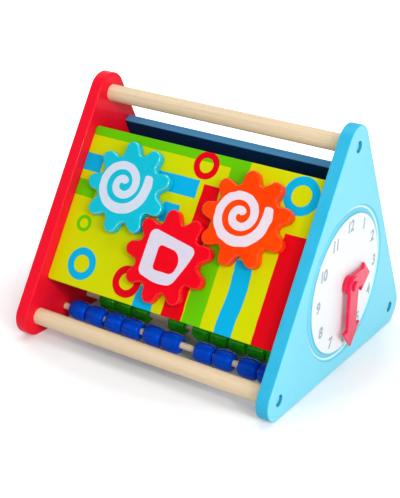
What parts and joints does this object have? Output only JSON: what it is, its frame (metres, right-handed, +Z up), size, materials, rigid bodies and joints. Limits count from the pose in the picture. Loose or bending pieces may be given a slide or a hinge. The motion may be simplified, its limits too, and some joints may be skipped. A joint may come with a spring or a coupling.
{
  "type": "wooden gear toy",
  "caption": "Triangular wooden activity toy with meshing turning gears, a play clock with turning hands, a sliding bead abacus and a chalkboard.",
  "frame": {"origin": "on the surface that the toy stands on, under the middle of its bounding box", "axes": "+X along the dowels, from the red end panel to the clock panel; -Y to the gear side; +Z up"},
  "size_m": [0.2664, 0.246, 0.2179],
  "materials": {
    "red_paint": "smooth satin paint on wood",
    "light_blue_paint": "smooth satin paint on wood",
    "pale_wood": "plain sanded pale wood",
    "lime_print": "printed sheet on board, satin",
    "chalk_paint": "matte navy chalkboard paint on board",
    "cyan_plastic": "glossy moulded",
    "red_plastic": "glossy moulded",
    "orange_plastic": "glossy moulded",
    "hand_plastic": "glossy moulded",
    "blue_bead": "gloss paint on wood",
    "green_bead": "gloss paint on wood",
    "yellow_bead": "gloss paint on wood",
    "orange_bead": "gloss paint on wood",
    "red_bead": "gloss paint on wood",
    "screw_steel": "plain zinc-plated"
  },
  "bodies": {
    "frame": {"abacus_rod_1": "pale_wood", "abacus_rod_2": "pale_wood", "abacus_rod_3": "pale_wood", "abacus_rod_4": "pale_wood", "abacus_rod_5": "pale_wood", "blue_end_panel": "light_blue_paint", "blue_front_screw": "screw_steel", "blue_front_screw_plug": "light_blue_paint", "blue_rear_screw": "screw_steel", "blue_rear_screw_plug": "light_blue_paint", "blue_top_screw": "screw_steel", "blue_top_screw_plug": "light_blue_paint", "chalk_board": "chalk_paint", "clock_pin": "hand_plastic", "front_dowel": "pale_wood", "gear_board": "lime_print", "rear_dowel": "pale_wood", "red_end_panel": "red_paint", "red_front_screw": "screw_steel", "red_front_screw_plug": "red_paint", "red_rear_screw": "screw_steel", "red_rear_screw_plug": "red_paint", "red_top_screw": "screw_steel", "red_top_screw_plug": "red_paint", "top_dowel": "pale_wood"},
    "blue_bead_1": {"blue_bead_1": "blue_bead"},
    "blue_bead_2": {"blue_bead_2": "blue_bead"},
    "blue_bead_3": {"blue_bead_3": "blue_bead"},
    "blue_bead_4": {"blue_bead_4": "blue_bead"},
    "blue_bead_5": {"blue_bead_5": "blue_bead"},
    "blue_bead_6": {"blue_bead_6": "blue_bead"},
    "blue_bead_7": {"blue_bead_7": "blue_bead"},
    "blue_bead_8": {"blue_bead_8": "blue_bead"},
    "blue_bead_9": {"blue_bead_9": "blue_bead"},
    "blue_bead_10": {"blue_bead_10": "blue_bead"},
    "green_bead_1": {"green_bead_1": "green_bead"},
    "green_bead_2": {"green_bead_2": "green_bead"},
    "green_bead_3": {"green_bead_3": "green_bead"},
    "green_bead_4": {"green_bead_4": "green_bead"},
    "green_bead_5": {"green_bead_5": "green_bead"},
    "green_bead_6": {"green_bead_6": "green_bead"},
    "green_bead_7": {"green_bead_7": "green_bead"},
    "green_bead_8": {"green_bead_8": "green_bead"},
    "green_bead_9": {"green_bead_9": "green_bead"},
    "green_bead_10": {"green_bead_10": "green_bead"},
    "orange_beads_1": {"orange_beads_1": "orange_bead"},
    "orange_beads_2": {"orange_beads_2": "orange_bead"},
    "red_beads_1": {"red_beads_1": "red_bead"},
    "red_beads_2": {"red_beads_2": "red_bead"},
    "yellow_beads_1": {"yellow_beads_1": "yellow_bead"},
    "yellow_beads_2": {"yellow_beads_2": "yellow_bead"},
    "red_gear": {"red_gear": "red_plastic", "red_gear_screw": "screw_steel"},
    "cyan_gear": {"cyan_gear": "cyan_plastic", "cyan_gear_screw": "screw_steel"},
    "orange_gear": {"orange_gear": "orange_plastic", "orange_gear_screw": "screw_steel"},
    "hour_hand": {"hour_hand": "hand_plastic"},
    "minute_hand": {"minute_hand": "hand_plastic"}
  },
  "joints": [
    {"name": "blue_bead_1_slide", "type": "slide", "parent": "frame", "child": "blue_bead_1", "axis": [1, 0, 0], "range_m": [-0.0078, 0.0011]},
    {"name": "blue_bead_2_slide", "type": "slide", "parent": "frame", "child": "blue_bead_2", "axis": [1, 0, 0], "range_m": [-0.0011, 0.0028]},
    {"name": "blue_bead_3_slide", "type": "slide", "parent": "frame", "child": "blue_bead_3", "axis": [1, 0, 0], "range_m": [-0.0028, 0.0008]},
    {"name": "blue_bead_4_slide", "type": "slide", "parent": "frame", "child": "blue_bead_4", "axis": [1, 0, 0], "range_m": [-0.0008, 0.0042]},
    {"name": "blue_bead_5_slide", "type": "slide", "parent": "frame", "child": "blue_bead_5", "axis": [1, 0, 0], "range_m": [-0.0042, 0.0012]},
    {"name": "blue_bead_6_slide", "type": "slide", "parent": "frame", "child": "blue_bead_6", "axis": [1, 0, 0], "range_m": [-0.0012, 0.015]},
    {"name": "blue_bead_7_slide", "type": "slide", "parent": "frame", "child": "blue_bead_7", "axis": [1, 0, 0], "range_m": [-0.015, 0.0013]},
    {"name": "blue_bead_8_slide", "type": "slide", "parent": "frame", "child": "blue_bead_8", "axis": [1, 0, 0], "range_m": [-0.0013, 0.0061]},
    {"name": "blue_bead_9_slide", "type": "slide", "parent": "frame", "child": "blue_bead_9", "axis": [1, 0, 0], "range_m": [-0.0061, 0.001]},
    {"name": "blue_bead_10_slide", "type": "slide", "parent": "frame", "child": "blue_bead_10", "axis": [1, 0, 0], "range_m": [-0.001, 0.0085]},
    {"name": "green_bead_1_slide", "type": "slide", "parent": "frame", "child": "green_bead_1", "axis": [1, 0, 0], "range_m": [-0.017, 0.0003]},
    {"name": "green_bead_2_slide", "type": "slide", "parent": "frame", "child": "green_bead_2", "axis": [1, 0, 0], "range_m": [-0.0003, 0.0004]},
    {"name": "green_bead_3_slide", "type": "slide", "parent": "frame", "child": "green_bead_3", "axis": [1, 0, 0], "range_m": [-0.0004, 0.0214]},
    {"name": "green_bead_4_slide", "type": "slide", "parent": "frame", "child": "green_bead_4", "axis": [1, 0, 0], "range_m": [-0.0214, 0.0076]},
    {"name": "green_bead_5_slide", "type": "slide", "parent": "frame", "child": "green_bead_5", "axis": [1, 0, 0], "range_m": [-0.0076, 0.0003]},
    {"name": "green_bead_6_slide", "type": "slide", "parent": "frame", "child": "green_bead_6", "axis": [1, 0, 0], "range_m": [-0.0003, 0.0003]},
    {"name": "green_bead_7_slide", "type": "slide", "parent": "frame", "child": "green_bead_7", "axis": [1, 0, 0], "range_m": [-0.0003, 0.0007]},
    {"name": "green_bead_8_slide", "type": "slide", "parent": "frame", "child": "green_bead_8", "axis": [1, 0, 0], "range_m": [-0.0007, 0.0006]},
    {"name": "green_bead_9_slide", "type": "slide", "parent": "frame", "child": "green_bead_9", "axis": [1, 0, 0], "range_m": [-0.0006, 0.0006]},
    {"name": "green_bead_10_slide", "type": "slide", "parent": "frame", "child": "green_bead_10", "axis": [1, 0, 0], "range_m": [-0.0006, 0.0006]},
    {"name": "orange_beads_1_slide", "type": "slide", "parent": "frame", "child": "orange_beads_1", "axis": [1, 0, 0], "range_m": [-0.005, 0.0258]},
    {"name": "orange_beads_2_slide", "type": "slide", "parent": "frame", "child": "orange_beads_2", "axis": [1, 0, 0], "range_m": [-0.0258, 0.0206]},
    {"name": "red_beads_1_slide", "type": "slide", "parent": "frame", "child": "red_beads_1", "axis": [1, 0, 0], "range_m": [-0.0232, 0.0154]},
    {"name": "red_beads_2_slide", "type": "slide", "parent": "frame", "child": "red_beads_2", "axis": [1, 0, 0], "range_m": [-0.0154, 0.0128]},
    {"name": "yellow_beads_1_slide", "type": "slide", "parent": "frame", "child": "yellow_beads_1", "axis": [1, 0, 0], "range_m": [-0.0154, 0.0232]},
    {"name": "yellow_beads_2_slide", "type": "slide", "parent": "frame", "child": "yellow_beads_2", "axis": [1, 0, 0], "range_m": [-0.0232, 0.0128]},
    {"name": "red_gear_spin", "type": "hinge", "parent": "frame", "child": "red_gear", "pos_m": [-0.00625, -0.06989, 0.09161], "axis": [0, -0.866, 0.5], "continuous": true},
    {"name": "cyan_gear_spin", "type": "hinge", "parent": "frame", "child": "cyan_gear", "pos_m": [-0.06484, -0.046, 0.13299], "axis": [0, -0.866, 0.5], "continuous": true},
    {"name": "orange_gear_spin", "type": "hinge", "parent": "frame", "child": "orange_gear", "pos_m": [0.05234, -0.046, 0.13299], "axis": [0, -0.866, 0.5], "continuous": true},
    {"name": "hour_hand_turn", "type": "hinge", "parent": "frame", "child": "hour_hand", "pos_m": [0.12275, 0, 0.08052], "axis": [1, 0, 0], "continuous": true},
    {"name": "minute_hand_turn", "type": "hinge", "parent": "frame", "child": "minute_hand", "pos_m": [0.12275, 0, 0.08052], "axis": [1, 0, 0], "continuous": true}
  ],
  "couplings": [
    {"joint": "cyan_gear_spin", "follows": "red_gear_spin", "ratio": -1},
    {"joint": "orange_gear_spin", "follows": "red_gear_spin", "ratio": -1}
  ]
}
